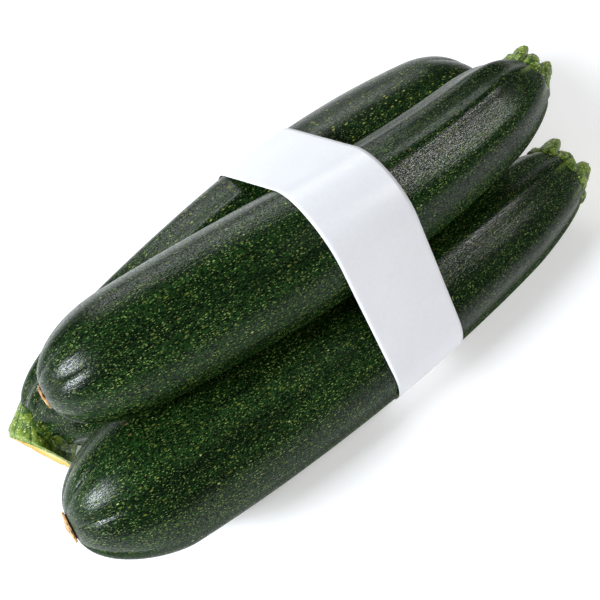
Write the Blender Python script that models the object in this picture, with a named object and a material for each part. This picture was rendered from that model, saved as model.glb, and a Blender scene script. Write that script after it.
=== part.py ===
"""Bundle of three courgettes held by a plain paper band, at real size.

Metres, +Z up. The bundle lies along X on the plane z = 0, with the origin at the centre of
its footprint. Two fruits lie on the surface and the third lies in the groove between them.
"""

import math

import bmesh
import bpy
from mathutils import Matrix, Vector

MM = 0.001
UP = Vector((0, 0, 1))

# Driving dimensions of the fruits, in millimetres. The axis of each runs from its blossom
# end to its stalk end. "bow" is the height of its single bend and "sway" that of its S-bend,
# each measured sideways and upwards. "taper" is the share of the radius lost between the
# widest point and the stalk end. "nose" and "shoulder" are the rounded ends: the share of
# the length that rounds off, the flat left at the tip as a share of the radius, and the
# power of the rounding curve.
FRUITS = {
    "top": {
        "blossom": (-75.9, -2.9, 59.2), "stalk": (81.4, -3.1, 48.6),
        "bow": (-6.32, 0.49), "sway": (0.24, 1.68),
        "radius": 17.3, "taper": 0.23, "widest": 0.43,
        "nose": (0.156, 0.20, 2.3), "shoulder": (0.122, 0.61, 1.5),
        "first_ridge": 20.0,
    },
    "front": {
        "blossom": (-91.8, -22.3, 32.6), "stalk": (84.1, -18.3, 14.2),
        "bow": (-4.39, -2.67), "sway": (0.40, -0.92),
        "radius": 20.6, "taper": 0.29, "widest": 0.15,
        "nose": (0.139, 0.15, 1.5), "shoulder": (0.152, 0.72, 1.5),
        "first_ridge": 8.0,
    },
    "back": {
        "blossom": (86.4, 18.1, 20.3), "stalk": (-85.8, 16.6, 14.8),
        "bow": (-2.75, 6.85), "sway": (-1.72, -1.06),
        "radius": 23.3, "taper": 0.26, "widest": 0.40,
        "nose": (0.123, 0.24, 2.2), "shoulder": (0.156, 0.60, 2.2),
        "first_ridge": 0.0,
    },
}
RIDGES = 10             # lengthwise ridges round each fruit
RIDGE_DEPTH = 0.055     # depth of the valleys at the stalk end, as a share of the radius
RIDGE_START = 0.35      # how far along the fruit the ridges begin to rise
FACET_DEPTH = 0.006     # depth of the faint valleys over the whole length
FRUIT_STATIONS = 26     # rings along a fruit
FRUIT_SEGMENTS = 40     # corners round a fruit, four to a ridge

# Cut stalks: foot, waist and crown radius, the crown's offset from the foot (along the
# fruit's axis, sideways, upwards), all in millimetres, and the slope of the cut, sideways
# and upwards.
STALKS = {
    "top": {
        "foot": 8.0, "waist": 7.2, "crown": 7.0,
        "reach": (7.1, 1.9, 0.0), "tilt": (0.02, 0.02),
    },
    "front": {
        "foot": 10.5, "waist": 9.9, "crown": 9.9,
        "reach": (7.7, 1.5, 0.2), "tilt": (0.02, 0.02),
    },
    "back": {
        "foot": 10.9, "waist": 10.6, "crown": 11.2,
        "reach": (6.6, 5.3, 0.3), "tilt": (0.45, 0.15),
    },
}
STALK_RIBS = 5
STALK_RIB_DEPTH = 0.16  # depth of the grooves between the ribs, as a share of the radius
STALK_STATIONS = 5
STALK_GAP = 0.3 * MM    # between a stalk's foot and the flat end of its fruit

# Paper band
BAND_LEFT = -1.7 * MM   # x of its edge on the blossom side of the top fruit
BAND_WIDTH = 25.0 * MM
BAND_THICKNESS = 0.4 * MM
BAND_GAP = 0.35 * MM    # between the band and the fruits
BAND_STATIONS = 4       # across the band's width
ARC_STEPS = 16          # along the band, round each fruit

SHARP_ANGLE = 40        # degrees: edges sharper than this stay sharp
HALVINGS = 40           # when searching for a station by halving

COLOURS = {
    "skin": ((0.030, 0.070, 0.022, 1), 0.38),
    "stalk": ((0.190, 0.290, 0.070, 1), 0.60),
    "paper": ((0.860, 0.865, 0.900, 1), 0.50),
}


def clear_scene():
    for old in list(bpy.data.objects):
        bpy.data.objects.remove(old, do_unlink=True)


def make_material(name):
    colour, roughness = COLOURS[name]
    material = bpy.data.materials.new(name)
    material.use_nodes = True
    shader = material.node_tree.nodes["Principled BSDF"]
    shader.inputs["Base Color"].default_value = colour
    shader.inputs["Roughness"].default_value = roughness
    shader.inputs["Metallic"].default_value = 0.0
    return material


def smooth_step(value):
    value = min(max(value, 0.0), 1.0)
    return value * value * (3 - 2 * value)


def spread(count):
    """Stations from 0 to 1, closer together towards both ends."""
    return [(1 - math.cos(math.pi * i / (count - 1))) / 2 for i in range(count)]


def side_and_up(direction):
    """The level and the upward direction square to a direction."""
    side = UP.cross(direction).normalized()
    return side, direction.cross(side).normalized()


def axis_point(fruit, t):
    """A point of the fruit's axis, at t from 0 (blossom) to 1 (stalk)."""
    start = Vector(fruit["blossom"]) * MM
    end = Vector(fruit["stalk"]) * MM
    side, up = side_and_up((end - start).normalized())
    bow = 4 * t * (1 - t) * MM
    sway = math.sin(2 * math.pi * t) * MM
    offset = side * (fruit["bow"][0] * bow + fruit["sway"][0] * sway)
    offset += up * (fruit["bow"][1] * bow + fruit["sway"][1] * sway)
    return start.lerp(end, t) + offset


def axis_direction(fruit, t):
    step = 0.001
    return (axis_point(fruit, t + step) - axis_point(fruit, t - step)).normalized()


def rounded_end(distance, end):
    """How much of the radius is left at a distance from an end: its flat share at the tip."""
    length, flat, power = end
    inside = min(max(1 - distance / length, 0.0), 1.0)
    return flat + (1 - flat) * math.sqrt(1 - inside ** power)


def fruit_radius(fruit, t):
    """Radius over the ridges, in metres."""
    taper = 1 - fruit["taper"] * ((t - fruit["widest"]) / (1 - fruit["widest"])) ** 2
    ends = rounded_end(t, fruit["nose"]) * rounded_end(1 - t, fruit["shoulder"])
    return fruit["radius"] * MM * taper * ends


def fruit_ring(fruit, t):
    """Corners of one cross-section, with the valleys between its ridges."""
    centre = axis_point(fruit, t)
    side, up = side_and_up(axis_direction(fruit, t))
    radius = fruit_radius(fruit, t)
    rise = smooth_step((t - RIDGE_START) / (1 - RIDGE_START))
    depth = FACET_DEPTH + (RIDGE_DEPTH - FACET_DEPTH) * rise
    first = math.radians(fruit["first_ridge"])
    corners = []
    for i in range(FRUIT_SEGMENTS):
        turn = 2 * math.pi * i / FRUIT_SEGMENTS
        valley = (1 - math.cos(RIDGES * turn)) / 2
        reach = radius * (1 - depth * valley)
        angle = turn + first
        corners.append(centre + (side * math.cos(angle) + up * math.sin(angle)) * reach)
    return corners


def loft(rings):
    """A closed body through rings of corners: the first ring is a face, extruded on."""
    bm = bmesh.new()
    cap = bm.faces.new([bm.verts.new(corner) for corner in rings[0]])
    for ring in rings[1:]:
        cap = bmesh.ops.extrude_discrete_faces(bm, faces=[cap])["faces"][0]
        for vert, corner in zip(cap.verts, ring):
            vert.co = corner
    open_edges = [edge for edge in bm.edges if edge.is_boundary]
    bmesh.ops.holes_fill(bm, edges=open_edges, sides=len(rings[0]))
    bmesh.ops.recalc_face_normals(bm, faces=bm.faces)
    return bm


def add_object(name, bm, material):
    mesh = bpy.data.meshes.new(name)
    bm.to_mesh(mesh)
    bm.free()
    mesh.materials.append(material)
    mesh.shade_smooth()
    mesh.set_sharp_from_angle(angle=math.radians(SHARP_ANGLE))
    piece = bpy.data.objects.new(name, mesh)
    bpy.context.scene.collection.objects.link(piece)
    return piece


def make_fruit(place, material):
    fruit = FRUITS[place]
    rings = [fruit_ring(fruit, t) for t in spread(FRUIT_STATIONS)]
    return add_object("courgette_" + place, loft(rings), material)


def stalk_radius(stalk, s):
    """Radius over the ribs, from the foot (s = 0) through the waist to the crown (s = 1)."""
    waist_at = 0.45
    if s < waist_at:
        share = smooth_step(s / waist_at)
        return (stalk["foot"] + (stalk["waist"] - stalk["foot"]) * share) * MM
    share = smooth_step((s - waist_at) / (1 - waist_at))
    return (stalk["waist"] + (stalk["crown"] - stalk["waist"]) * share) * MM


def make_stalk(place, material):
    """A short ribbed stump that leaves the fruit square to its end and leans over."""
    fruit = FRUITS[place]
    stalk = STALKS[place]
    straight = axis_direction(fruit, 1.0)
    side, up = side_and_up(straight)
    facing = (straight + side * stalk["tilt"][0] + up * stalk["tilt"][1]).normalized()
    foot = axis_point(fruit, 1.0) + straight * STALK_GAP
    along, sideways, upwards = stalk["reach"]
    reach_out = (straight * along + side * sideways + up * upwards) * MM
    rings = []
    for i in range(STALK_STATIONS):
        s = i / (STALK_STATIONS - 1)
        direction = straight.lerp(facing, s).normalized()
        centre = foot + reach_out * s
        ring_side, ring_up = side_and_up(direction)
        radius = stalk_radius(stalk, s)
        ring = []
        for j in range(FRUIT_SEGMENTS):
            turn = 2 * math.pi * j / FRUIT_SEGMENTS
            groove = (1 - math.cos(STALK_RIBS * turn)) / 2
            reach = radius * (1 - STALK_RIB_DEPTH * groove)
            ring.append(centre + (ring_side * math.cos(turn) + ring_up * math.sin(turn)) * reach)
        rings.append(ring)
    return add_object("stalk_" + place, loft(rings), material)


def section_circle(fruit, x):
    """Centre (y, z) and radius of a fruit where a plane of constant x cuts it."""
    low, high = 0.0, 1.0
    rising = axis_point(fruit, 1.0).x > axis_point(fruit, 0.0).x
    for _ in range(HALVINGS):
        t = (low + high) / 2
        if (axis_point(fruit, t).x < x) == rising:
            low = t
        else:
            high = t
    point = axis_point(fruit, t)
    return Vector((point.y, point.z)), fruit_radius(fruit, t) + BAND_GAP


def tangent_angle(first, second):
    """Direction of the outward normal on the straight run from one circle to the next."""
    offset = second[0] - first[0]
    bearing = math.atan2(offset.y, offset.x)
    return bearing - math.acos((first[1] - second[1]) / offset.length)


def band_outline(x):
    """Inner outline of the tight band at one x: points (y, z) with their outward normals.

    It runs anticlockwise round the front, back and top fruit, straight between them. Its
    lower side is let down onto the surface that the bundle lies on.
    """
    circles = [section_circle(FRUITS[place], x) for place in ("front", "back", "top")]
    outline = []
    for i, circle in enumerate(circles):
        before = circles[i - 1]
        after = circles[(i + 1) % len(circles)]
        start = tangent_angle(before, circle)
        end = tangent_angle(circle, after)
        while end < start:
            end += 2 * math.pi
        for step in range(ARC_STEPS + 1):
            angle = start + (end - start) * step / ARC_STEPS
            normal = Vector((math.cos(angle), math.sin(angle)))
            point = circle[0] + normal * circle[1]
            if normal.y < 0 and circle is not circles[2]:
                drop = circle[0].y - circle[1] - BAND_THICKNESS
                point.y -= drop * smooth_step(-normal.y)
            outline.append((point, normal))
    level_run(outline)
    return outline


def level_run(outline):
    """Make the straight run under the bundle exactly level, at the band's thickness."""
    for index in (ARC_STEPS, ARC_STEPS + 1):
        point, _ = outline[index]
        point.y = BAND_THICKNESS
        outline[index] = (point, Vector((0, -1)))


def make_band(material):
    """The band as one closed loop: sections with an inner and an outer row of corners."""
    xs = [BAND_LEFT + BAND_WIDTH * i / (BAND_STATIONS - 1) for i in range(BAND_STATIONS)]
    outlines = [band_outline(x) for x in xs]
    bm = bmesh.new()
    sections = []
    for k in range(len(outlines[0])):
        inner = []
        outer = []
        for x, outline in zip(xs, outlines):
            point, normal = outline[k]
            away = point + normal * BAND_THICKNESS
            inner.append(bm.verts.new((x, point.x, point.y)))
            outer.append(bm.verts.new((x, away.x, away.y)))
        sections.append(inner + outer[::-1])
    corners = len(sections[0])
    for k, section in enumerate(sections):
        following = sections[(k + 1) % len(sections)]
        for j in range(corners):
            nxt = (j + 1) % corners
            bm.faces.new((section[j], section[nxt], following[nxt], following[j]))
    bmesh.ops.recalc_face_normals(bm, faces=bm.faces)
    return add_object("paper_band", bm, material)


def settle(pieces):
    """Move the whole bundle so that the middle of its footprint is the origin."""
    corners = [vert.co for piece in pieces for vert in piece.data.vertices]
    low = Vector([min(c[i] for c in corners) for i in range(3)])
    high = Vector([max(c[i] for c in corners) for i in range(3)])
    offset = Vector((-(low.x + high.x) / 2, -(low.y + high.y) / 2, -low.z))
    for piece in pieces:
        piece.data.transform(Matrix.Translation(offset))


def main():
    clear_scene()
    skin = make_material("skin")
    stalk_skin = make_material("stalk")
    paper = make_material("paper")
    pieces = [make_fruit(place, skin) for place in FRUITS]
    pieces += [make_stalk(place, stalk_skin) for place in STALKS]
    pieces.append(make_band(paper))
    settle(pieces)


main()
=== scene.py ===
import math

import bmesh
import bpy
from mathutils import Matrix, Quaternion, Vector


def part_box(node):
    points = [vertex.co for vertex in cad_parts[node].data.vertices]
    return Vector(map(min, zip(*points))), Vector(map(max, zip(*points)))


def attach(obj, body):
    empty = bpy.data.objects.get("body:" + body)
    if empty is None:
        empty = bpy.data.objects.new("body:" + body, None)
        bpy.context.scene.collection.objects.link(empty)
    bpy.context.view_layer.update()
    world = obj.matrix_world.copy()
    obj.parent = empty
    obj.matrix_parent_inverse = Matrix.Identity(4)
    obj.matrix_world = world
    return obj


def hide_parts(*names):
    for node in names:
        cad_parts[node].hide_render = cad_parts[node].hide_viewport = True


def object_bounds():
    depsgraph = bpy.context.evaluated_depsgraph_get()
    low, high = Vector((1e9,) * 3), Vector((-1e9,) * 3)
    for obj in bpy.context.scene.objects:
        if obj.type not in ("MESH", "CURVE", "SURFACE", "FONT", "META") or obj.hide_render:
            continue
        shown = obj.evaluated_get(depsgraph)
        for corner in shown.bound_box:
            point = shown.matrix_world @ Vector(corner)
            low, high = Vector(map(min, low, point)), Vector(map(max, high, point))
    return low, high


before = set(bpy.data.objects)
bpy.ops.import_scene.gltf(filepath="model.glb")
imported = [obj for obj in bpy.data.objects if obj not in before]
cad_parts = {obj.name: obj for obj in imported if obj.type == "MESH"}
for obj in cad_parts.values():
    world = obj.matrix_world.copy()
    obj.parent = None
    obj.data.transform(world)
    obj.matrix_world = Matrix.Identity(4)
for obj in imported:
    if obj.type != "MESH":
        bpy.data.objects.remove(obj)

cadLow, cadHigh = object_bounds()
mm = 0.001
zUp = Vector((0, 0, 1))
bodyName = "root"
print("frame loaded, box", [round(v * 1000, 1) for v in (cadHigh - cadLow)], "mm")

# the three fruits, in millimetres: the axis runs from blossom end to stalk end,
# bow and sway are its bend and its S-bend (sideways, upwards),
# nose and shoulder are (share of the length, flat left at the tip, power of the rounding),
# slant says how far the skin's edge at the stalk falls back and on which side (degrees),
# ribTurn and ribPull place the ribs round the fruit, tongue is how far the skin climbs the stalk,
# freckle is how thick the yellow flecks stand and stemRidges how deep the ridges at the stalk
fruits = {
    "Top": {
        "node": "courgette_top", "stalkNode": "stalk_top",
        "blossom": (-75.9, -2.9, 59.2), "stalkEnd": (81.4, -3.1, 48.6),
        "bow": (-6.32, 0.49), "sway": (0.24, 1.68),
        "radius": 17.3, "taper": 0.23, "widest": 0.43,
        "nose": (0.156, 0.20, 2.3), "shoulder": (0.122, 0.61, 1.5),
        "seed": 1.0, "scarRadius": 3.2, "slant": (2.4, 20.0),
        "ribTurn": 105.0, "ribPull": 0.2, "tongue": 0.9, "streak": 0.8,
        "freckle": 0.55, "stemRidges": 0.070,
    },
    "Front": {
        "node": "courgette_front", "stalkNode": "stalk_front",
        "blossom": (-91.8, -22.3, 32.6), "stalkEnd": (84.1, -18.3, 14.2),
        "bow": (-4.39, -2.67), "sway": (0.40, -0.92),
        "radius": 20.6, "taper": 0.29, "widest": 0.15,
        "nose": (0.139, 0.15, 1.5), "shoulder": (0.152, 0.72, 1.5),
        "seed": 2.0, "scarRadius": 4.4, "slant": (0.8, 20.0),
        "ribTurn": 105.0, "ribPull": 0.2, "tongue": 0.9, "streak": 0.5,
        "freckle": 0.60, "stemRidges": 0.070,
    },
    "Back": {
        "node": "courgette_back", "stalkNode": "stalk_back",
        "blossom": (86.4, 18.1, 20.3), "stalkEnd": (-85.8, 16.6, 14.8),
        "bow": (-2.75, 6.85), "sway": (-1.72, -1.06),
        "radius": 23.3, "taper": 0.26, "widest": 0.40,
        "nose": (0.123, 0.24, 2.2), "shoulder": (0.156, 0.60, 2.2),
        "seed": 3.0, "scarRadius": 4.4, "slant": (3.6, -10.0),
        "ribTurn": 24.0, "ribPull": 0.0, "tongue": 1.7, "streak": 0.0,
        "freckle": 1.00, "stemRidges": 0.110,
    },
}

fruitMesh = {"stations": 300, "segments": 160}
ridges = {"count": 10, "facetDepth": 0.006, "creaseDepth": 0.100, "wobble": 0.014}


# small helpers for node trees

def feed(tree, socket, value):
    if isinstance(value, bpy.types.NodeSocket):
        tree.links.new(value, socket)
    else:
        socket.default_value = value


def mathFor(tree):
    def m(operation, *values, clamp=False):
        node = tree.nodes.new("ShaderNodeMath")
        node.operation = operation
        node.use_clamp = clamp
        for socket, value in zip(node.inputs, values):
            feed(tree, socket, value)
        return node.outputs[0]
    return m


def vectorMathFor(tree):
    def v(operation, first, second=None):
        node = tree.nodes.new("ShaderNodeVectorMath")
        node.operation = operation
        feed(tree, node.inputs[0], first)
        if second is not None:
            feed(tree, node.inputs[3 if operation == "SCALE" else 1], second)
        return node.outputs["Value" if operation in ("LENGTH", "DOT_PRODUCT") else "Vector"]
    return v


def smooth(tree, value, low, high, bottom=0.0, top=1.0):     # eased step from bottom to top
    node = tree.nodes.new("ShaderNodeMapRange")
    node.interpolation_type = "SMOOTHSTEP"
    for label, number in (("From Min", low), ("From Max", high), ("To Min", bottom), ("To Max", top)):
        node.inputs[label].default_value = number
    feed(tree, node.inputs["Value"], value)
    return node.outputs["Result"]


def combine(tree, x, y, z):
    node = tree.nodes.new("ShaderNodeCombineXYZ")
    for socket, value in zip(node.inputs, (x, y, z)):
        feed(tree, socket, value)
    return node.outputs[0]


def noiseAt(tree, place, scale, detail=2.0, roughness=0.5):
    node = tree.nodes.new("ShaderNodeTexNoise")
    feed(tree, node.inputs["Vector"], place)
    node.inputs["Scale"].default_value = scale
    node.inputs["Detail"].default_value = detail
    node.inputs["Roughness"].default_value = roughness
    return node.outputs[0]


def openTree(name, sockets):
    tree = bpy.data.node_groups.new(name, "GeometryNodeTree")
    tree.interface.new_socket("Geometry", in_out="OUTPUT", socket_type="NodeSocketGeometry")
    for label, kind in sockets:
        tree.interface.new_socket(label, in_out="INPUT", socket_type="NodeSocket" + kind)
    given = tree.nodes.new("NodeGroupInput")
    result = tree.nodes.new("NodeGroupOutput")
    return tree, given.outputs, result.inputs[0]


def storeAttribute(tree, geometry, name, value, kind="FLOAT"):
    node = tree.nodes.new("GeometryNodeStoreNamedAttribute")
    node.data_type = kind
    node.domain = "POINT"
    node.inputs["Name"].default_value = name
    tree.links.new(geometry, node.inputs["Geometry"])
    tree.links.new(value, node.inputs["Value"])
    return node.outputs["Geometry"]


def wrappedGrid(tree, stations, segments):
    # a sheet of points to be rolled up: row number, column number and the geometry
    m = mathFor(tree)
    grid = tree.nodes.new("GeometryNodeMeshGrid")
    rows = m("ADD", segments, 1.0)
    tree.links.new(stations, grid.inputs["Vertices X"])
    tree.links.new(rows, grid.inputs["Vertices Y"])
    index = tree.nodes.new("GeometryNodeInputIndex").outputs[0]
    ring = m("FLOOR", m("DIVIDE", m("ADD", index, 0.5), rows))
    corner = m("SUBTRACT", index, m("MULTIPLY", ring, rows))
    angle = m("MULTIPLY", m("DIVIDE", corner, segments), 2 * math.pi)
    return grid.outputs["Mesh"], ring, angle


def closeUp(tree, mesh, position, material, attributes, flip):
    # moves the points to their places, joins the seam and the poles, smooths and dresses it
    move = tree.nodes.new("GeometryNodeSetPosition")
    for name, kind, value in attributes:
        mesh = storeAttribute(tree, mesh, name, value, kind)
    tree.links.new(mesh, move.inputs["Geometry"])
    tree.links.new(position, move.inputs["Position"])
    weld = tree.nodes.new("GeometryNodeMergeByDistance")
    weld.inputs["Distance"].default_value = 0.002 * mm
    tree.links.new(move.outputs[0], weld.inputs["Geometry"])
    shape = weld.outputs[0]
    if flip:
        turn = tree.nodes.new("GeometryNodeFlipFaces")
        tree.links.new(shape, turn.inputs["Mesh"])
        shape = turn.outputs[0]
    shade = tree.nodes.new("GeometryNodeSetShadeSmooth")
    tree.links.new(shape, shade.inputs["Geometry"])
    dress = tree.nodes.new("GeometryNodeSetMaterial")
    tree.links.new(shade.outputs[0], dress.inputs["Geometry"])
    tree.links.new(material, dress.inputs["Material"])
    return dress.outputs[0]


def ribAngle(tree, angle, turn, pull):
    # angle counted from one rib, drawn wider apart on that side of the fruit
    m = mathFor(tree)
    off = m("SUBTRACT", angle, turn)
    return m("SUBTRACT", off, m("MULTIPLY", m("SINE", off), pull))


def finishTree(tree, geometry, result):
    real = tree.nodes.new("GeometryNodeRealizeInstances")
    tree.links.new(geometry, real.inputs["Geometry"])
    tree.links.new(real.outputs[0], result)


def growPiece(name, tree, values):
    piece = bpy.data.objects.new(name, bpy.data.meshes.new(name))
    bpy.context.scene.collection.objects.link(piece)
    modifier = piece.modifiers.new("grow", "NODES")
    modifier.node_group = tree
    labels = {item.name: item.identifier for item in tree.interface.items_tree
              if item.in_out == "INPUT"}
    for label, value in values.items():
        modifier[labels[label]] = value
    graph = bpy.context.evaluated_depsgraph_get()
    grown = bpy.data.meshes.new_from_object(piece.evaluated_get(graph),
                                            preserve_all_data_layers=True, depsgraph=graph)
    piece.modifiers.remove(modifier)
    piece.data = grown
    return piece


# the axis of a fruit, for the pieces that sit on it

def sideAndUp(direction):
    side = zUp.cross(direction).normalized()
    return side, direction.cross(side).normalized()


def axisPoint(fruit, t):
    start = Vector(fruit["blossom"]) * mm
    end = Vector(fruit["stalkEnd"]) * mm
    side, up = sideAndUp((end - start).normalized())
    bow = 4 * t * (1 - t) * mm
    sway = math.sin(2 * math.pi * t) * mm
    offset = side * (fruit["bow"][0] * bow + fruit["sway"][0] * sway)
    offset += up * (fruit["bow"][1] * bow + fruit["sway"][1] * sway)
    return start.lerp(end, t) + offset + fruit["shift"]


def axisDirection(fruit, t):
    step = 0.001
    return (axisPoint(fruit, t + step) - axisPoint(fruit, t - step)).normalized()


def roundedEnd(distance, end):
    length, flat, power = end
    inside = min(max(1 - distance / length, 0.0), 1.0)
    return flat + (1 - flat) * math.sqrt(1 - inside ** power)


def fruitRadius(fruit, t):
    taper = 1 - fruit["taper"] * ((t - fruit["widest"]) / (1 - fruit["widest"])) ** 2
    ends = roundedEnd(t, fruit["nose"]) * roundedEnd(1 - t, fruit["shoulder"])
    return fruit["radius"] * mm * taper * ends


def placeFruits():
    # the band's left edge and the front fruit's near side in the frame give the small shift
    # between these numbers and the frame
    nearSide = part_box("courgette_front")[0][1]
    for fruit in fruits.values():
        fruit["shift"] = Vector((0, 0, 0))
    front = fruits["Front"]
    steps = [i / 200 for i in range(201)]
    reach = min(axisPoint(front, t).y - fruitRadius(front, t) for t in steps)
    shift = Vector((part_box("paper_band")[0][0] - band["left"] * mm, nearSide - reach, 0))
    for fruit in fruits.values():
        fruit["shift"] = shift
    print("shift", [round(v * 1000, 3) for v in shift])


# colours and finishes

def newMaterial(name):
    material = bpy.data.materials.new(name)
    material.use_nodes = True
    return material, material.node_tree, material.node_tree.nodes["Principled BSDF"]


def readAttribute(tree, name):
    node = tree.nodes.new("ShaderNodeAttribute")
    node.attribute_name = name
    return node


def stretched(tree, place, scale, offset=(0, 0, 0)):
    node = tree.nodes.new("ShaderNodeMapping")
    tree.links.new(place, node.inputs["Vector"])
    node.inputs["Scale"].default_value = scale
    node.inputs["Location"].default_value = offset
    return node.outputs[0]


def cellsAt(tree, place, randomness=1.0):
    node = tree.nodes.new("ShaderNodeTexVoronoi")
    tree.links.new(place, node.inputs["Vector"])
    node.inputs["Scale"].default_value = 1.0
    node.inputs["Randomness"].default_value = randomness
    return node.outputs["Distance"], node.outputs["Color"]


def blendColour(tree, factor, first, second, mode="MIX"):
    node = tree.nodes.new("ShaderNodeMix")
    node.data_type = "RGBA"
    node.blend_type = mode
    feed(tree, node.inputs[0], factor)
    feed(tree, node.inputs[6], first)
    feed(tree, node.inputs[7], second)
    return node.outputs[2]


def bumpOn(tree, height, distance, strength, below=None):
    node = tree.nodes.new("ShaderNodeBump")
    tree.links.new(height, node.inputs["Height"])
    node.inputs["Distance"].default_value = distance
    node.inputs["Strength"].default_value = strength
    if below is not None:
        tree.links.new(below, node.inputs["Normal"])
    return node.outputs[0]


skinLook = {
    "deep": (0.0022, 0.0110, 0.0020, 1), "leaf": (0.0130, 0.0440, 0.0085, 1),
    "night": (0.0005, 0.0020, 0.0006, 1),
    "fleck": (0.300, 0.430, 0.105, 1), "brightFleck": (0.480, 0.580, 0.200, 1),
    "yellowFleck": (0.420, 0.480, 0.080, 1),
    "streak": (0.160, 0.240, 0.045, 1), "brown": (0.220, 0.100, 0.040, 1),
    # the near-black colour is painted shade on the skin under and round the blossom scar
    "nearBlackAndShade": (0.004, 0.003, 0.002, 1), "roughness": 0.27,
}


def spots(tree, place, cell, size, seedOffset, spread=0.5):
    # round flecks: one per cell, most of them small
    m = mathFor(tree)
    where = stretched(tree, place, (1 / (cell[0] * mm), 1 / (cell[1] * mm), 1 / (cell[1] * mm)),
                      seedOffset)
    distance, colour = cellsAt(tree, where)
    pick = tree.nodes.new("ShaderNodeSeparateColor")
    tree.links.new(colour, pick.inputs[0])
    reach = m("MULTIPLY", m("ADD", m("MULTIPLY", pick.outputs[0], spread), 1 - spread), size)
    return m("SUBTRACT", 1.0, smooth(tree, m("DIVIDE", distance, reach), 0.5, 1.0)), pick.outputs[1]


def makeSkin():
    material, tree, shader = newMaterial("courgetteSkin")
    m = mathFor(tree)
    look = skinLook
    straight = readAttribute(tree, "straight").outputs["Vector"]
    along = readAttribute(tree, "along").outputs["Fac"]
    streak = readAttribute(tree, "streak").outputs["Fac"]
    upward = readAttribute(tree, "upward").outputs["Fac"]
    # broad bands and fine lines that run along the fruit
    bands = noiseAt(tree, stretched(tree, straight, (12, 170, 170)), 1.0, 3.0, 0.6)
    clouds = noiseAt(tree, straight, 70.0, 3.0, 0.55)
    lines = noiseAt(tree, stretched(tree, straight, (110, 1900, 1900)), 1.0, 2.0, 0.5)
    ground = blendColour(tree, smooth(tree, bands, 0.35, 0.68), look["deep"], look["leaf"])
    shaded = blendColour(tree, m("MULTIPLY", smooth(tree, lines, 0.40, 0.75), 0.7), ground,
                         look["leaf"])
    mottle = noiseAt(tree, stretched(tree, straight, (1050, 2300, 2300)), 1.0, 3.0, 0.7)
    shaded = blendColour(tree, smooth(tree, mottle, 0.42, 0.58, 0.0, 0.92), shaded, look["night"])
    # flecks, thicker in some patches than in others
    patchy = m("ADD", m("MULTIPLY", clouds, 0.5), m("MULTIPLY", bands, 0.5))
    freckle = readAttribute(tree, "freckle").outputs["Fac"]
    crowd = smooth(tree, patchy, 0.38, 0.56, 0.40, 1.0)
    crowdLarge = m("MULTIPLY", crowd, m("MULTIPLY_ADD", freckle, 0.5, 0.72), clamp=True)
    crowdBright = m("MULTIPLY_ADD", freckle, 1.4, -0.55, clamp=True)
    fine, fineTint = spots(tree, straight, (0.78, 0.25), 0.44, (3.1, 0.7, 0.2), 0.6)
    middle, middleTint = spots(tree, straight, (1.50, 0.48), 0.30, (7.7, 2.3, 5.1), 0.6)
    broad, broadTint = spots(tree, straight, (2.10, 0.95), 0.33, (5.2, 6.1, 0.9), 0.6)
    large, largeTint = spots(tree, straight, (4.0, 2.2), 0.12, (1.9, 8.3, 2.7))
    fineShare = m("MULTIPLY", m("MULTIPLY", fine, crowd),
                  smooth(tree, fineTint, 0.15, 0.90, 0.0, 0.95))
    flecked = blendColour(tree, fineShare, shaded, look["fleck"])
    middleShare = m("MULTIPLY", m("MULTIPLY", middle, crowdLarge),
                    smooth(tree, middleTint, 0.30, 0.95, 0.0, 0.95))
    flecked = blendColour(tree, middleShare, flecked, look["fleck"])
    broadShare = m("MULTIPLY", m("MULTIPLY", broad, crowdBright),
                   smooth(tree, broadTint, 0.30, 0.80, 0.0, 0.9))
    flecked = blendColour(tree, broadShare, flecked, look["yellowFleck"])
    largeShare = m("MULTIPLY", large, smooth(tree, largeTint, 0.4, 0.9, 0.0, 0.9))
    flecked = blendColour(tree, largeShare, flecked, look["brightFleck"])
    # small corky marks
    marks, marksTint = spots(tree, straight, (9.0, 6.0), 0.07, (4.4, 1.2, 6.6))
    marked = blendColour(tree, m("MULTIPLY", marks, smooth(tree, marksTint, 0.5, 0.6)), flecked,
                         look["brown"])
    # pale streaks that run out of the stalk's ribs, and near-black painted shade on the skin under and
    # round the blossom scar
    streaked = blendColour(tree, streak, marked, look["streak"])
    shadeUnderScar = smooth(tree, along, 0.0004, 0.003, 1.0, 0.0)
    finished = blendColour(tree, shadeUnderScar, streaked, look["nearBlackAndShade"])
    tree.links.new(finished, shader.inputs["Base Color"])
    # satin wax, duller where the flecks stand; on the downward-facing side the gloss is turned down, a
    # painted shade that dims the table's reflection there
    grain = noiseAt(tree, stretched(tree, straight, (2100, 3500, 3500)), 1.0, 3.0, 0.65)
    dull = m("ADD", m("MULTIPLY", clouds, 0.10), smooth(tree, grain, 0.36, 0.64, 0.0, 0.20))
    roughness = m("ADD", m("ADD", look["roughness"] - 0.16, dull), m("MULTIPLY", middleShare, 0.12))
    tree.links.new(roughness, shader.inputs["Roughness"])
    # grainy gloss, turned down on the downward-facing side as painted shade
    glossAndUnderShade = m("MULTIPLY", smooth(tree, grain, 0.40, 0.62, 0.40, 0.02),
              smooth(tree, upward, -0.1, 0.75, 0.05, 1.0))
    tree.links.new(glossAndUnderShade, shader.inputs["Specular IOR Level"])
    normal = bumpOn(tree, lines, 0.00010, 0.6)
    normal = bumpOn(tree, grain, 0.00007, 0.6, normal)
    normal = bumpOn(tree, m("ADD", fineShare, middleShare), 0.00006, 0.6, normal)
    tree.links.new(normal, shader.inputs["Normal"])
    return material


stalkLook = {
    "green": (0.022, 0.070, 0.004, 1), "lime": (0.170, 0.250, 0.018, 1),
    "fleck": (0.560, 0.640, 0.200, 1), "cutEdge": (0.640, 0.340, 0.035, 1),
    "cutCore": (0.480, 0.470, 0.160, 1), "brown": (0.150, 0.075, 0.020, 1),
    "roughness": 0.46,
}


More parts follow.
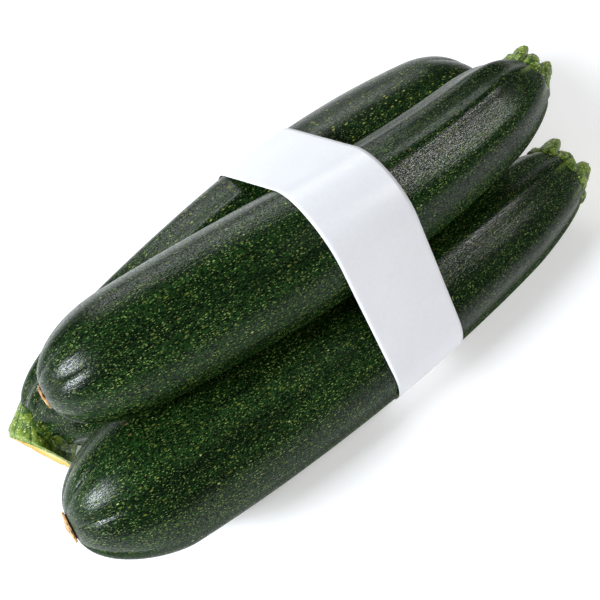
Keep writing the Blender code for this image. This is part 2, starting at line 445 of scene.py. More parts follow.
def makeStalkSkin():
    material, tree, shader = newMaterial("stalkRind")
    m = mathFor(tree)
    look = stalkLook
    place = tree.nodes.new("ShaderNodeTexCoord").outputs["Object"]
    height = readAttribute(tree, "height").outputs["Fac"]
    cut = readAttribute(tree, "cut").outputs["Fac"]
    groove = readAttribute(tree, "groove").outputs["Fac"]
    patches = noiseAt(tree, place, 620.0, 3.0, 0.6)
    mottled = blendColour(tree, smooth(tree, patches, 0.40, 0.60), look["green"], look["lime"])
    limeShare = m("MULTIPLY", smooth(tree, height, 0.45, 0.95), 0.5)
    mottled = blendColour(tree, limeShare, mottled, look["lime"])
    # the grooves between the ribs are painted darker green, a painted shade in the grooves
    mottled = blendColour(tree, m("MULTIPLY", smooth(tree, groove, 0.25, 0.8), 0.85), mottled,
                          look["green"])
    flecks, flecksTint = spots(tree, place, (0.80, 0.58), 0.56, (2.2, 5.5, 1.1), 0.6)
    flecked = blendColour(tree, m("MULTIPLY", flecks, smooth(tree, flecksTint, 0.15, 0.75)), mottled,
                          look["fleck"])
    # the cut: orange at its edge, paler inside, with a few dry spots
    dry = noiseAt(tree, place, 700.0, 4.0, 0.6)
    core = blendColour(tree, smooth(tree, cut, 0.15, 0.50), look["cutEdge"], look["cutCore"])
    core = blendColour(tree, smooth(tree, dry, 0.56, 0.70), core, look["brown"])
    ragged = m("ADD", cut, m("MULTIPLY", m("SUBTRACT", patches, 0.5), 0.10))
    dressed = blendColour(tree, smooth(tree, ragged, 0.03, 0.08), flecked, core)
    tree.links.new(dressed, shader.inputs["Base Color"])
    tree.links.new(m("ADD", m("MULTIPLY", patches, 0.25), look["roughness"] - 0.12),
                   shader.inputs["Roughness"])
    normal = bumpOn(tree, patches, 0.00025, 0.6)
    normal = bumpOn(tree, flecks, 0.00012, 0.7, normal)
    tree.links.new(normal, shader.inputs["Normal"])
    return material


bristleLook = {"tip": (0.78, 0.80, 0.55, 1), "root": (0.35, 0.45, 0.12, 1)}


def makeBristleFinish():
    material, tree, shader = newMaterial("stalkBristle")
    place = tree.nodes.new("ShaderNodeTexCoord").outputs["Object"]
    shade = noiseAt(tree, place, 900.0, 2.0, 0.5)
    tree.links.new(blendColour(tree, smooth(tree, shade, 0.35, 0.65), bristleLook["root"],
                               bristleLook["tip"]), shader.inputs["Base Color"])
    shader.inputs["Roughness"].default_value = 0.45
    tree.links.new(bumpOn(tree, shade, 0.00002, 0.3), shader.inputs["Normal"])
    return material


scarLook = {"tan": (0.740, 0.470, 0.240, 1), "orange": (0.640, 0.290, 0.070, 1),
            # the near-black colour serves the scar's own dark centre and, as painted shade, its
            # underside
            "crust": (0.085, 0.040, 0.018, 1), "nearBlackAndShade": (0.018, 0.011, 0.007, 1)}


def makeScarFinish():
    material, tree, shader = newMaterial("driedScar")
    m = mathFor(tree)
    place = tree.nodes.new("ShaderNodeTexCoord").outputs["Object"]
    under = readAttribute(tree, "under").outputs["Fac"]
    fibres = noiseAt(tree, place, 1300.0, 4.0, 0.65)
    corky = blendColour(tree, smooth(tree, fibres, 0.35, 0.65), scarLook["tan"], scarLook["orange"])
    crusts = noiseAt(tree, place, 950.0, 3.0, 0.6)
    corky = blendColour(tree, smooth(tree, crusts, 0.53, 0.62, 0.0, 0.9), corky, scarLook["crust"])
    # the scar's own dark centre, and painted shade near black on the underside of the turned rim and
    # on the neck
    centreAndUnderShade = m("MAXIMUM", smooth(tree, under, 0.05, 0.30, 0.6, 0.0), smooth(tree, under, 0.60, 0.70))
    tree.links.new(blendColour(tree, centreAndUnderShade, corky, scarLook["nearBlackAndShade"]), shader.inputs["Base Color"])
    tree.links.new(m("ADD", m("MULTIPLY", fibres, 0.25), 0.5), shader.inputs["Roughness"])
    tree.links.new(bumpOn(tree, fibres, 0.0002, 0.7), shader.inputs["Normal"])
    return material


paperLook = {"white": (0.780, 0.785, 0.815, 1), "shade": (0.745, 0.750, 0.780, 1),
             "roughness": 0.42}


def makePaper():
    material, tree, shader = newMaterial("bandPaper")
    m = mathFor(tree)
    place = tree.nodes.new("ShaderNodeTexCoord").outputs["Object"]
    pulp = noiseAt(tree, place, 900.0, 5.0, 0.6)
    cloudy = noiseAt(tree, place, 60.0, 3.0, 0.5)
    tone = m("ADD", m("MULTIPLY", pulp, 0.5), m("MULTIPLY", cloudy, 0.5))
    tree.links.new(blendColour(tree, smooth(tree, tone, 0.35, 0.65), paperLook["white"],
                               paperLook["shade"]), shader.inputs["Base Color"])
    tree.links.new(m("ADD", m("MULTIPLY", pulp, 0.12), paperLook["roughness"] - 0.06),
                   shader.inputs["Roughness"])
    shader.inputs["Coat Weight"].default_value = 0.15
    shader.inputs["Coat Roughness"].default_value = 0.25
    normal = bumpOn(tree, cloudy, 0.0004, 0.25)
    normal = bumpOn(tree, pulp, 0.00003, 0.35, normal)
    tree.links.new(normal, shader.inputs["Normal"])
    return material


# the fruits

def fruitTree():
    tree, given, result = openTree("fruitBody", [
        ("Stations", "Int"), ("Segments", "Int"), ("Blossom End", "Vector"),
        ("Stalk End", "Vector"), ("Bow", "Vector"), ("Sway", "Vector"), ("Radius", "Float"),
        ("Taper", "Float"), ("Widest", "Float"), ("Nose", "Vector"), ("Shoulder", "Vector"),
        ("Stem Depth", "Float"), ("Facet Depth", "Float"),
        ("Crease Depth", "Float"), ("Wobble", "Float"), ("Tongue", "Float"), ("Slant", "Float"),
        ("Slant Turn", "Float"), ("Rib Turn", "Float"), ("Rib Pull", "Float"), ("Streak", "Float"),
        ("Freckle", "Float"), ("Seed", "Float"), ("Skin", "Material")])
    m = mathFor(tree)
    v = vectorMathFor(tree)

    def parts(vector):
        node = tree.nodes.new("ShaderNodeSeparateXYZ")
        tree.links.new(vector, node.inputs[0])
        return node.outputs

    mesh, ring, angle = wrappedGrid(tree, given["Stations"], given["Segments"])
    share = m("DIVIDE", m("SUBTRACT", ring, 1.0), m("SUBTRACT", given["Stations"], 3.0), clamp=True)
    t = m("MULTIPLY_ADD", m("COSINE", m("MULTIPLY", share, math.pi)), -0.5, 0.5)
    notPole = m("MULTIPLY", m("GREATER_THAN", ring, 0.5),
                m("LESS_THAN", ring, m("SUBTRACT", given["Stations"], 1.5)))

    # axis
    run = v("SUBTRACT", given["Stalk End"], given["Blossom End"])
    level = v("NORMALIZE", v("CROSS_PRODUCT", tuple(zUp), run))
    rise = v("NORMALIZE", v("CROSS_PRODUCT", run, level))
    bowParts = parts(given["Bow"])
    swayParts = parts(given["Sway"])
    bow = v("ADD", v("SCALE", level, bowParts[0]), v("SCALE", rise, bowParts[1]))
    sway = v("ADD", v("SCALE", level, swayParts[0]), v("SCALE", rise, swayParts[1]))
    turnT = m("MULTIPLY", t, 2 * math.pi)
    bowShare = m("MULTIPLY", m("MULTIPLY", t, 4.0), m("SUBTRACT", 1.0, t))
    centre = v("ADD", given["Blossom End"], v("SCALE", run, t))
    centre = v("ADD", centre, v("SCALE", bow, bowShare))
    centre = v("ADD", centre, v("SCALE", sway, m("SINE", turnT)))
    bowSlope = m("MULTIPLY_ADD", t, -8.0, 4.0)
    swaySlope = m("MULTIPLY", m("COSINE", turnT), 2 * math.pi)
    tangent = v("ADD", run, v("ADD", v("SCALE", bow, bowSlope), v("SCALE", sway, swaySlope)))
    tangent = v("NORMALIZE", tangent)
    side = v("NORMALIZE", v("CROSS_PRODUCT", tuple(zUp), tangent))
    up = v("CROSS_PRODUCT", tangent, side)

    # radius
    def endShare(distance, end):
        length, flat, power = parts(end)
        inside = m("SUBTRACT", 1.0, m("DIVIDE", distance, length), clamp=True)
        root = m("SQRT", m("SUBTRACT", 1.0, m("POWER", inside, power)))
        return m("ADD", flat, m("MULTIPLY", m("SUBTRACT", 1.0, flat), root))

    slope = m("DIVIDE", m("SUBTRACT", t, given["Widest"]), m("SUBTRACT", 1.0, given["Widest"]))
    taper = m("SUBTRACT", 1.0, m("MULTIPLY", given["Taper"], m("MULTIPLY", slope, slope)))
    ends = m("MULTIPLY", endShare(t, given["Nose"]),
             endShare(m("SUBTRACT", 1.0, t), given["Shoulder"]))
    radius = m("MULTIPLY", m("MULTIPLY", given["Radius"], taper), m("MULTIPLY", ends, notPole))

    # ridges, a little uneven round the fruit and deepest at the stalk
    theta = ribAngle(tree, angle, given["Rib Turn"], given["Rib Pull"])
    uneven = m("MULTIPLY", m("SINE", m("MULTIPLY_ADD", theta, 2.0, given["Seed"])), 0.06)
    uneven2 = m("MULTIPLY", m("SINE", m("MULTIPLY_ADD", theta, 3.0, given["Seed"])), 0.05)
    warped = m("ADD", theta, m("ADD", uneven, uneven2))
    wave = m("MULTIPLY_ADD", m("COSINE", m("MULTIPLY", warped, ridges["count"])), -0.5, 0.5)
    strong = m("MULTIPLY_ADD", m("COSINE", m("MULTIPLY", warped, ridges["count"] / 2)), 0.25, 0.75)
    crest = m("POWER", m("SUBTRACT", 1.0, wave), 1.6)
    valley = m("MULTIPLY", m("SUBTRACT", 1.0, crest), strong)
    stemDepth = m("MULTIPLY", given["Stem Depth"], smooth(tree, t, 0.30, 0.97))
    seam = m("ABSOLUTE", m("COSINE", m("MULTIPLY", warped, ridges["count"] / 2)))
    crease = m("SUBTRACT", 1.0, m("POWER", seam, 0.40))
    creaseDepth = m("MULTIPLY", given["Crease Depth"], smooth(tree, t, 0.002, 0.11, 1.0, 0.0))
    straight = combine(tree, m("MULTIPLY", t, v("LENGTH", run)),
                       m("MULTIPLY", m("COSINE", angle), given["Radius"]),
                       m("MULTIPLY", m("SINE", angle), given["Radius"]))
    lumps = noiseAt(tree, v("ADD", v("MULTIPLY", straight, (28.0, 60.0, 60.0)),
                            combine(tree, given["Seed"], 0.0, 0.0)), 1.0, 2.0, 0.5)
    cutBack = m("ADD", m("MULTIPLY", stemDepth, valley), m("MULTIPLY", given["Facet Depth"], wave))
    cutBack = m("ADD", cutBack, m("MULTIPLY", creaseDepth, crease))
    cutBack = m("ADD", cutBack, m("MULTIPLY", given["Wobble"], lumps))
    reach = m("MULTIPLY", radius, m("SUBTRACT", 1.0, cutBack))

    # skin tongues that reach up between the stalk's ribs
    rib = m("ABSOLUTE", m("COSINE", m("MULTIPLY", theta, ridges["count"] / 2)))
    tongue = m("SUBTRACT", 1.0, m("POWER", rib, 1.5))
    forward = m("MULTIPLY", m("MULTIPLY", tongue, given["Tongue"]), smooth(tree, t, 0.978, 1.0))
    fallSide = m("MULTIPLY_ADD", m("COSINE", m("SUBTRACT", angle, given["Slant Turn"])), 0.5, 0.5)
    fall = m("MULTIPLY", m("MULTIPLY", fallSide, given["Slant"]), smooth(tree, t, 0.93, 1.0))
    forward = m("SUBTRACT", forward, fall)
    forward = m("MULTIPLY", forward, notPole)
    paleStreak = m("MULTIPLY", m("MULTIPLY", smooth(tree, rib, 0.96, 1.0), given["Streak"]),
                   smooth(tree, t, 0.940, 0.995))
    spoke = v("ADD", v("SCALE", side, m("COSINE", angle)), v("SCALE", up, m("SINE", angle)))
    position = v("ADD", centre, v("SCALE", spoke, reach))
    position = v("ADD", position, v("SCALE", tangent, forward))
    shape = closeUp(tree, mesh, position, given["Skin"], [
        ("straight", "FLOAT_VECTOR", straight), ("along", "FLOAT", t),
        ("upward", "FLOAT", m("SINE", angle)), ("freckle", "FLOAT", given["Freckle"]),
        ("streak", "FLOAT", paleStreak)], flip=False)
    finishTree(tree, shape, result)
    return tree


def makeFruit(label, tree, skin):
    fruit = fruits[label]
    shift = fruit["shift"]
    piece = growPiece("courgette" + label, tree, {
        "Stations": fruitMesh["stations"], "Segments": fruitMesh["segments"],
        "Blossom End": Vector(fruit["blossom"]) * mm + shift,
        "Stalk End": Vector(fruit["stalkEnd"]) * mm + shift,
        "Bow": (fruit["bow"][0] * mm, fruit["bow"][1] * mm, 0.0),
        "Sway": (fruit["sway"][0] * mm, fruit["sway"][1] * mm, 0.0),
        "Radius": fruit["radius"] * mm, "Taper": fruit["taper"], "Widest": fruit["widest"],
        "Nose": fruit["nose"], "Shoulder": fruit["shoulder"],
        "Stem Depth": fruit["stemRidges"],
        "Facet Depth": ridges["facetDepth"], "Crease Depth": ridges["creaseDepth"],
        "Wobble": ridges["wobble"], "Tongue": fruit["tongue"] * mm,
        "Slant": fruit["slant"][0] * mm, "Slant Turn": math.radians(fruit["slant"][1]),
        "Rib Turn": math.radians(fruit["ribTurn"]), "Rib Pull": fruit["ribPull"],
        "Streak": fruit["streak"], "Freckle": fruit["freckle"], "Seed": fruit["seed"],
        "Skin": skin})
    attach(piece, bodyName)
    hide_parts(fruit["node"])
    return piece


# foot, waist and crown are radii, reach is the crown's offset from the foot (along the fruit,
# sideways, upwards), tilt the slope of the cut, ribs the depth of the grooves between the ribs,
# notch how far they cut down into the crown, step how much lower every second rib ends,
# knobs the height of the lumps and dish how far the cut sinks in
stalks = {
    "Top": {
        "foot": 9.0, "waist": 8.3, "crown": 7.5, "reach": (7.3, 1.9, 0.0), "tilt": (0.02, 0.02),
        "ribs": 0.22, "notch": 3.7, "step": 2.3, "knobs": 0.9, "dish": 2.6,
    },
    "Front": {
        "foot": 11.9, "waist": 11.2, "crown": 10.5, "reach": (7.9, 1.5, 0.2), "tilt": (0.02, 0.02),
        "ribs": 0.20, "notch": 5.2, "step": 3.4, "knobs": 0.9, "dish": 3.5,
    },
    "Back": {
        "foot": 11.2, "waist": 11.1, "crown": 11.2, "reach": (6.7, 5.3, 0.3), "tilt": (0.55, 0.18),
        "ribs": 0.03, "notch": 0.2, "step": 0.0, "knobs": 0.25, "dish": 1.1,
    },
}
# sideShare is the part of the points' rows that climbs the side, the rest crosses the cut
stalkMesh = {"stations": 90, "segments": 240, "sideShare": 0.72, "sink": 0.35, "sinkDepth": 2.6}
bristles = {"perMm2": 0.9, "length": 0.45, "sides": 5, "slimness": 8.0, "tip": 0.1,
            "shortest": 0.5, "from": 0.35, "to": 0.93}


def stalkTree():
    tree, given, result = openTree("cutStalk", [
        ("Stations", "Int"), ("Segments", "Int"), ("Foot Point", "Vector"),
        ("Straight", "Vector"), ("Facing", "Vector"), ("Reach", "Vector"), ("Foot", "Float"),
        ("Waist", "Float"), ("Crown", "Float"), ("Rib Depth", "Float"), ("Notch", "Float"),
        ("Step", "Float"), ("Dish", "Float"), ("Knobs", "Float"), ("Rib Turn", "Float"),
        ("Rib Pull", "Float"), ("Seed", "Int"), ("Bristle Density", "Float"),
        ("Bristle Length", "Float"), ("Rind", "Material"), ("Bristle", "Material")])
    m = mathFor(tree)
    v = vectorMathFor(tree)
    mesh, ring, angle = wrappedGrid(tree, given["Stations"], given["Segments"])
    w = m("DIVIDE", ring, m("SUBTRACT", given["Stations"], 1.0))
    sideShare = stalkMesh["sideShare"]
    s = m("DIVIDE", w, sideShare, clamp=True)
    inward = m("DIVIDE", m("SUBTRACT", w, sideShare), 1.0 - sideShare, clamp=True)
    climb = m("MULTIPLY_ADD", s, 1.0 + stalkMesh["sink"], -stalkMesh["sink"])
    rise = m("MAXIMUM", climb, 0.0)
    lower = smooth(tree, rise, 0.0, 0.45)
    upper = smooth(tree, rise, 0.45, 0.95)
    base = m("ADD", given["Foot"],
             m("MULTIPLY", lower, m("SUBTRACT", given["Waist"], given["Foot"])))
    base = m("ADD", base, m("MULTIPLY", upper, m("SUBTRACT", given["Crown"], given["Waist"])))
    base = m("MULTIPLY", base, smooth(tree, climb, -stalkMesh["sink"], 0.0, 0.88, 1.0))
    # ribs with rounded backs and tight grooves
    fromRib = ribAngle(tree, angle, given["Rib Turn"], given["Rib Pull"])
    back = m("POWER", m("ABSOLUTE", m("COSINE", m("MULTIPLY", fromRib, ridges["count"] / 2))), 0.40)
    groove = m("SUBTRACT", 1.0, back)
    halfTurn = m("COSINE", m("MULTIPLY", fromRib, ridges["count"] / 4))
    lesser = smooth(tree, m("MULTIPLY", halfTurn, halfTurn), 0.25, 0.75)
    depth = m("MULTIPLY", given["Rib Depth"], smooth(tree, rise, 0.0, 0.6, 0.7, 1.0))
    radius = m("MULTIPLY", base, m("SUBTRACT", 1.0, m("MULTIPLY", groove, depth)))
    # the crown's edge is rounded over
    edge = m("MULTIPLY", smooth(tree, s, 0.86, 1.0), 0.10)
    radius = m("MULTIPLY", radius, m("SUBTRACT", 1.0, edge))
    radius = m("MULTIPLY", radius, m("SUBTRACT", 1.0, inward))
    facing = v("ADD", v("SCALE", given["Straight"], m("SUBTRACT", 1.0, rise)),
               v("SCALE", given["Facing"], rise))
    facing = v("NORMALIZE", facing)
    side = v("NORMALIZE", v("CROSS_PRODUCT", tuple(zUp), facing))
    up = v("CROSS_PRODUCT", facing, side)
    spoke = v("ADD", v("SCALE", side, m("COSINE", angle)), v("SCALE", up, m("SINE", angle)))
    # the cut: uneven, dished, and notched between the ribs
    uneven = m("MULTIPLY_ADD", m("SINE", m("MULTIPLY_ADD", angle, 2.0, 0.7)), 0.25 * mm, 0.25 * mm)
    dish = m("MULTIPLY", smooth(tree, inward, 0.0, 0.5), given["Dish"])
    lowered = m("MULTIPLY", lesser, given["Step"])
    notch = m("ADD", lowered, m("MULTIPLY", groove, m("SUBTRACT", given["Notch"], lowered)))
    notch = m("MULTIPLY", notch, smooth(tree, rise, 0.1, 1.0))
    filled = smooth(tree, inward, 0.0, 0.75, 1.0, 0.0)
    drop = m("ADD", dish, m("MULTIPLY", notch, filled))
    drop = m("ADD", drop, m("MULTIPLY", uneven, smooth(tree, rise, 0.5, 1.0)))
    centre = v("ADD", given["Foot Point"], v("SCALE", given["Reach"], rise))
    sunk = m("MULTIPLY", m("MINIMUM", climb, 0.0), stalkMesh["sinkDepth"] * mm / stalkMesh["sink"])
    centre = v("ADD", centre, v("SCALE", given["Straight"], sunk))
    position = v("ADD", centre, v("SCALE", spoke, radius))
    position = v("SUBTRACT", position, v("SCALE", facing, drop))
    coarse = noiseAt(tree, position, 480.0, 2.0, 0.5)
    fine = noiseAt(tree, position, 1300.0, 2.0, 0.5)
    bump = m("ADD", m("SUBTRACT", coarse, 0.62), m("MULTIPLY", m("SUBTRACT", fine, 0.60), 0.45))
    fade = m("MULTIPLY", smooth(tree, inward, 0.0, 0.6, 1.0, 0.3), given["Knobs"])
    sidewards = v("SCALE", spoke, m("SUBTRACT", 1.0, smooth(tree, inward, 0.0, 0.2)))
    outward = v("NORMALIZE", v("ADD", sidewards, v("SCALE", facing, smooth(tree, s, 0.8, 1.0))))
    position = v("ADD", position, v("SCALE", outward, m("MULTIPLY", bump, fade)))
    shape = closeUp(tree, mesh, position, given["Rind"], [
        ("height", "FLOAT", s), ("cut", "FLOAT", inward), ("groove", "FLOAT", groove)], flip=False)
    # bristles on the side only
    scatter = tree.nodes.new("GeometryNodeDistributePointsOnFaces")
    scatter.distribute_method = "RANDOM"
    named = tree.nodes.new("GeometryNodeInputNamedAttribute")
    named.data_type = "FLOAT"
    named.inputs["Name"].default_value = "height"
    heightNow = named.outputs["Attribute"]
    onSide = m("MULTIPLY", m("GREATER_THAN", heightNow, bristles["from"]),
               m("LESS_THAN", heightNow, bristles["to"]))
    tree.links.new(shape, scatter.inputs["Mesh"])
    tree.links.new(onSide, scatter.inputs["Selection"])
    tree.links.new(given["Bristle Density"], scatter.inputs["Density"])
    tree.links.new(given["Seed"], scatter.inputs["Seed"])
    cone = tree.nodes.new("GeometryNodeMeshCone")
    cone.fill_type = "NGON"
    cone.inputs["Vertices"].default_value = bristles["sides"]
    cone.inputs["Radius Top"].default_value = bristles["tip"]
    cone.inputs["Radius Bottom"].default_value = 1.0
    cone.inputs["Depth"].default_value = bristles["slimness"]
    size = tree.nodes.new("FunctionNodeRandomValue")
    size.data_type = "FLOAT"
    size.inputs[2].default_value = bristles["shortest"]
    size.inputs[3].default_value = 1.0
    tree.links.new(given["Seed"], size.inputs["Seed"])
    stand = tree.nodes.new("GeometryNodeInstanceOnPoints")
    tree.links.new(scatter.outputs["Points"], stand.inputs["Points"])
    tree.links.new(cone.outputs["Mesh"], stand.inputs["Instance"])
    tree.links.new(scatter.outputs["Rotation"], stand.inputs["Rotation"])
    scale = m("MULTIPLY", size.outputs[1], m("DIVIDE", given["Bristle Length"], bristles["slimness"]))
    tree.links.new(combine(tree, scale, scale, scale), stand.inputs["Scale"])
    real = tree.nodes.new("GeometryNodeRealizeInstances")
    tree.links.new(stand.outputs[0], real.inputs["Geometry"])
    dress = tree.nodes.new("GeometryNodeSetMaterial")
    tree.links.new(real.outputs[0], dress.inputs["Geometry"])
    tree.links.new(given["Bristle"], dress.inputs["Material"])
    together = tree.nodes.new("GeometryNodeJoinGeometry")
    tree.links.new(shape, together.inputs[0])
    tree.links.new(dress.outputs[0], together.inputs[0])
    finishTree(tree, together.outputs[0], result)
    return tree


def makeStalk(label, tree, rind, bristle):
    fruit = fruits[label]
    stalk = stalks[label]
    straight = axisDirection(fruit, 1.0)
    side, up = sideAndUp(straight)
    facing = (straight + side * stalk["tilt"][0] + up * stalk["tilt"][1]).normalized()
    along, sideways, upwards = stalk["reach"]
    reach = (straight * along + side * sideways + up * upwards) * mm
    piece = growPiece("cutStalk" + label, tree, {
        "Stations": stalkMesh["stations"], "Segments": stalkMesh["segments"],
        "Foot Point": axisPoint(fruit, 1.0), "Straight": straight, "Facing": facing,
        "Reach": reach, "Foot": stalk["foot"] * mm, "Waist": stalk["waist"] * mm,
        "Crown": stalk["crown"] * mm, "Rib Depth": stalk["ribs"], "Notch": stalk["notch"] * mm,
        "Step": stalk["step"] * mm, "Dish": stalk["dish"] * mm, "Knobs": stalk["knobs"] * mm,
        "Rib Turn": math.radians(fruit["ribTurn"]), "Rib Pull": fruit["ribPull"],
        "Seed": int(fruit["seed"]), "Bristle Density": bristles["perMm2"] / mm ** 2,
        "Bristle Length": bristles["length"] * mm, "Rind": rind, "Bristle": bristle})
    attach(piece, bodyName)
    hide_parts(fruit["stalkNode"])
    return piece


# the dried scars where the blossoms sat, in millimetres: standOff lifts the disc off the tip
scars = {"stations": 60, "segments": 90, "thickness": 0.22, "dome": 0.8, "standOff": 0.45,
         "neck": 1.6}


def scarTree():
    tree, given, result = openTree("blossomScar", [
        ("Stations", "Int"), ("Segments", "Int"), ("Place", "Vector"), ("Facing", "Vector"),
        ("Radius", "Float"), ("Thickness", "Float"), ("Dome", "Float"), ("Neck", "Float"),
        ("Seed", "Float"), ("Finish", "Material")])
    m = mathFor(tree)
    v = vectorMathFor(tree)
    mesh, ring, angle = wrappedGrid(tree, given["Stations"], given["Segments"])
    w = m("DIVIDE", ring, m("SUBTRACT", given["Stations"], 1.0))
    ragged = noiseAt(tree, combine(tree, m("MULTIPLY", m("COSINE", angle), 1.8),
                                   m("MULTIPLY", m("SINE", angle), 1.8), given["Seed"]), 1.0, 3.0, 0.6)
    # a thin disc with a turned-over rim on a short neck
    out = m("SUBTRACT", smooth(tree, w, 0.0, 0.42), smooth(tree, w, 0.58, 0.74, 0.0, 0.20))
    out = m("SUBTRACT", out, smooth(tree, w, 0.90, 1.0, 0.0, 0.80))
    radius = m("MULTIPLY", m("MULTIPLY", given["Radius"], out), m("MULTIPLY_ADD", ragged, 0.45, 0.75))
    turned = m("SUBTRACT", 1.0, smooth(tree, w, 0.42, 0.60, 0.0, 2.0))
    height = m("MULTIPLY", given["Thickness"], turned)
    height = m("ADD", height, m("MULTIPLY", given["Dome"], smooth(tree, w, 0.0, 0.42, 1.0, 0.0)))
    height = m("SUBTRACT", height, m("MULTIPLY", given["Neck"], smooth(tree, w, 0.72, 0.92)))
    uneven = m("MULTIPLY", m("SUBTRACT", ragged, 0.5), given["Dome"])
    height = m("ADD", height, m("MULTIPLY", uneven, out))
    side = v("NORMALIZE", v("CROSS_PRODUCT", tuple(zUp), given["Facing"]))
    up = v("CROSS_PRODUCT", given["Facing"], side)
    spoke = v("ADD", v("SCALE", side, m("COSINE", angle)), v("SCALE", up, m("SINE", angle)))
    position = v("ADD", given["Place"], v("SCALE", spoke, radius))
    position = v("ADD", position, v("SCALE", given["Facing"], height))
    shape = closeUp(tree, mesh, position, given["Finish"], [
        ("under", "FLOAT", w)], flip=True)
    finishTree(tree, shape, result)
    return tree


def makeScar(label, tree, finish):
    fruit = fruits[label]
    outward = -axisDirection(fruit, 0.0)
    piece = growPiece("blossomScar" + label, tree, {
        "Stations": scars["stations"], "Segments": scars["segments"],
        "Place": axisPoint(fruit, 0.0) + outward * scars["standOff"] * mm, "Facing": outward,
        "Radius": fruit["scarRadius"] * mm, "Thickness": scars["thickness"] * mm,
        "Dome": scars["dome"] * mm, "Neck": scars["neck"] * mm, "Seed": fruit["seed"],
        "Finish": finish})
    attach(piece, bodyName)
    return piece


# the paper band, in millimetres from the fruits' own zero: step is the spacing of the points
# round the loop, lapBefore says how far before the top fruit the glued overlap begins
band = {"left": -1.7, "width": 25.0, "paper": 0.18, "gap": 0.16, "rows": 26, "step": 0.9,
        "overlap": 12.0, "lapBefore": 30.0, "lift": 0.20, "wave": 0.10, "floor": 0.04}


def sectionCircle(fruit, x):
    low, high = 0.0, 1.0
    rising = axisPoint(fruit, 1.0).x > axisPoint(fruit, 0.0).x
    for _ in range(40):
        t = (low + high) / 2
        if (axisPoint(fruit, t).x < x) == rising:
            low = t
        else:
            high = t
    point = axisPoint(fruit, t)
    return Vector((point.y, point.z)), fruitRadius(fruit, t) + band["gap"] * mm


def tangentAngle(first, second):
    offset = second[0] - first[0]
    bearing = math.atan2(offset.y, offset.x)
    return bearing - math.acos((first[1] - second[1]) / offset.length)


def bandOutline(x):
    # tight loop round the three fruits at one x: corners (y, z) with outward normals
    circles = [sectionCircle(fruits[label], x) for label in ("Top", "Front", "Back")]
    corners = []
    for i, circle in enumerate(circles):
        start = tangentAngle(circles[i - 1], circle)
        end = tangentAngle(circle, circles[(i + 1) % 3])
        while end < start:
            end += 2 * math.pi
        arcSteps = 48
        for step in range(arcSteps + 1):
            angle = start + (end - start) * step / arcSteps
            normal = Vector((math.cos(angle), math.sin(angle)))
            point = circle[0] + normal * circle[1]
            if normal.y < 0 and i > 0:      # the underside is let down onto the table
                share = min(-normal.y, 1.0)
                share = share * share * (3 - 2 * share)
                drop = circle[0].y - circle[1] - (band["paper"] + band["floor"]) * mm
                point.y -= drop * share
            corners.append((point, normal))
    return corners


def walk(corners, count):
    # the outline again, as evenly spaced points by length; starts on the far side of the back fruit
    points = [corner[0] for corner in corners]
    normals = [corner[1] for corner in corners]
    points.append(points[0])
    normals.append(normals[0])
    lengths = [0.0]
    for first, second in zip(points, points[1:]):
        lengths.append(lengths[-1] + (second - first).length)
    total = lengths[-1]
    start = lengths[-2] - band["lapBefore"] * mm
    spaced = []
    k = 0
    for i in range(count):
        goal = (start + total * i / count) % total
        if goal < lengths[k]:
            k = 0
        while lengths[k + 1] < goal:
            k += 1
        share = (goal - lengths[k]) / max(lengths[k + 1] - lengths[k], 1e-9)
        spaced.append((points[k].lerp(points[k + 1], share),
                       normals[k].lerp(normals[k + 1], share).normalized()))
    return spaced, total


def makeBand(paper):
    left = band["left"] * mm + fruits["Top"]["shift"].x
    xs = [left + band["width"] * mm * (i / (band["rows"] - 1)) for i in range(band["rows"])]
    _, middleLength = walk(bandOutline(xs[len(xs) // 2]), 8)
    count = int(middleLength / (band["step"] * mm))
    loops = [walk(bandOutline(x), count)[0] for x in xs]
    extra = int(band["overlap"] / band["step"])
    ramp = 5
    mesh = bmesh.new()
    columns = []
    for k in range(count + extra + 1):
        lap = min(max((k - count + ramp) / ramp, 0.0), 1.0)     # the end lies on the beginning
        lift = band["lift"] * lap
        column = []
        for row, (x, loop) in enumerate(zip(xs, loops)):
            point, normal = loop[k % count]
            across = abs(2 * row / (len(xs) - 1) - 1)
            ripple = math.sin(0.21 * k + 0.35 * row) * math.sin(0.083 * k + 1.3)
            bulge = band["wave"] * (0.5 + 0.5 * ripple) * (0.4 + 0.6 * across ** 3)
            if normal.y < -0.6:
                bulge = 0.0
            away = point + normal * (lift + bulge) * mm
            column.append(mesh.verts.new((x, away.x, away.y)))
        columns.append(column)
    for first, second in zip(columns, columns[1:]):
        for row in range(len(xs) - 1):
            mesh.faces.new((first[row], first[row + 1], second[row + 1], second[row]))
    sheet = bpy.data.meshes.new("paperBand")
    mesh.normal_update()
    mesh.to_mesh(sheet)
    mesh.free()
    piece = bpy.data.objects.new("paperBand", sheet)
    bpy.context.scene.collection.objects.link(piece)
    sheet.materials.append(paper)
    sheet.shade_smooth()
    wall = piece.modifiers.new("paperWall", "SOLIDIFY")
    wall.thickness = band["paper"] * mm
    wall.offset = 1.0
    graph = bpy.context.evaluated_depsgraph_get()
    piece.data = bpy.data.meshes.new_from_object(piece.evaluated_get(graph))
    piece.modifiers.remove(wall)
    print("band loop", round(middleLength * 1000, 1), "mm")
    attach(piece, bodyName)
    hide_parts("paper_band")
    return piece


# table, light and camera
studio = {
    "floorSize": 6.0, "floorTone": (0.93, 0.93, 0.935, 1), "floorGlow": 0.20,
    "worldTone": (0.93, 0.96, 1.0, 1), "worldStrength": 0.08,
    "lamps": [
        # name, place (m), size (m), power (W), colour, whether shiny things mirror it
        ("leftBox", (-0.62, 0.06, 0.44), (0.23, 0.23), 7.9, (0.88, 0.94, 1.0), True),
        ("rightBox", (0.58, -0.24, 0.60), (0.15, 0.12), 1.75, (1.0, 0.99, 0.97), True),
        ("backBox", (0.22, 0.82, 0.44), (0.8, 0.35), 3.7, (0.97, 0.99, 1.0), True),
        ("frontFill", (-0.20, -0.75, 0.70), (1.0, 0.8), 4.4, (1.0, 1.0, 0.99), False),
    ],
}


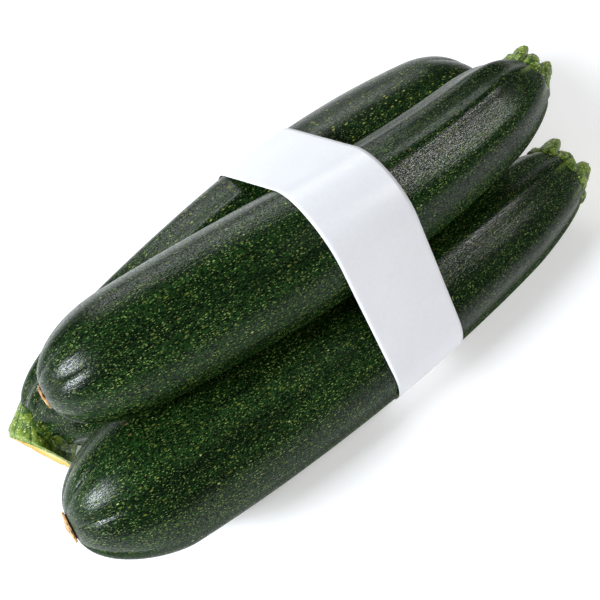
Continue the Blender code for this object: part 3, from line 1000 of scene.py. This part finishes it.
def makeStudio():
    floorMesh = bpy.data.meshes.new("floor")
    shape = bmesh.new()
    bmesh.ops.create_grid(shape, x_segments=4, y_segments=4, size=studio["floorSize"] / 2)
    shape.to_mesh(floorMesh)
    shape.free()
    floor = bpy.data.objects.new("floor", floorMesh)
    bpy.context.scene.collection.objects.link(floor)
    material, tree, shader = newMaterial("floorPaint")
    shader.inputs["Base Color"].default_value = studio["floorTone"]
    shader.inputs["Roughness"].default_value = 0.6
    shader.inputs["Emission Color"].default_value = (1, 1, 1, 1)
    shader.inputs["Emission Strength"].default_value = studio["floorGlow"]
    floorMesh.materials.append(material)
    world = bpy.data.worlds.new("studioWorld")
    bpy.context.scene.world = world
    world.use_nodes = True
    background = world.node_tree.nodes["Background"]
    background.inputs["Color"].default_value = studio["worldTone"]
    background.inputs["Strength"].default_value = studio["worldStrength"]
    aim = (cadLow + cadHigh) / 2
    for name, place, size, power, colour, mirrored in studio["lamps"]:
        lamp = bpy.data.lights.new(name, "AREA")
        lamp.shape = "RECTANGLE"
        lamp.size, lamp.size_y = size
        lamp.energy = power
        lamp.color = colour
        lampObject = bpy.data.objects.new(name, lamp)
        lampObject.location = place
        lampObject.visible_glossy = mirrored
        lampObject.rotation_mode = "QUATERNION"
        lampObject.rotation_quaternion = (Vector(place) - aim).to_track_quat("Z", "Y")
        bpy.context.scene.collection.objects.link(lampObject)
    bpy.context.scene.view_settings.view_transform = "Standard"


cameraSet = {"lens": 49.8, "azimuth": 22.99, "elevation": 60.36, "roll": -16.09,
             "distance": 0.2352, "aimOffset": (-0.0058, -0.0087, -0.0060)}


def makeCamera():
    azimuth = math.radians(cameraSet["azimuth"])
    elevation = math.radians(cameraSet["elevation"])
    forward = Vector((math.sin(azimuth) * math.cos(elevation),
                      math.cos(azimuth) * math.cos(elevation), -math.sin(elevation)))
    aim = (cadLow + cadHigh) / 2 + Vector(cameraSet["aimOffset"])
    lens = bpy.data.cameras.new("camera")
    lens.lens = cameraSet["lens"]
    lens.clip_start = 0.01
    camera = bpy.data.objects.new("camera", lens)
    camera.location = aim - forward * cameraSet["distance"]
    camera.rotation_mode = "QUATERNION"
    level = (-forward).to_track_quat("Z", "Y")
    camera.rotation_quaternion = level @ Quaternion((0, 0, 1), math.radians(cameraSet["roll"]))
    bpy.context.scene.collection.objects.link(camera)
    bpy.context.scene.camera = camera


placeFruits()
skin = makeSkin()
rind = makeStalkSkin()
bristle = makeBristleFinish()
scarFinish = makeScarFinish()
paper = makePaper()
print("finishes ready")

bodyTree = fruitTree()
stemTree = stalkTree()
discTree = scarTree()
for label in fruits:
    makeFruit(label, bodyTree, skin)
    makeStalk(label, stemTree, rind, bristle)
    makeScar(label, discTree, scarFinish)
    print("grown:", label)

makeBand(paper)
print("band wrapped")

makeStudio()
makeCamera()
print("studio and camera set")
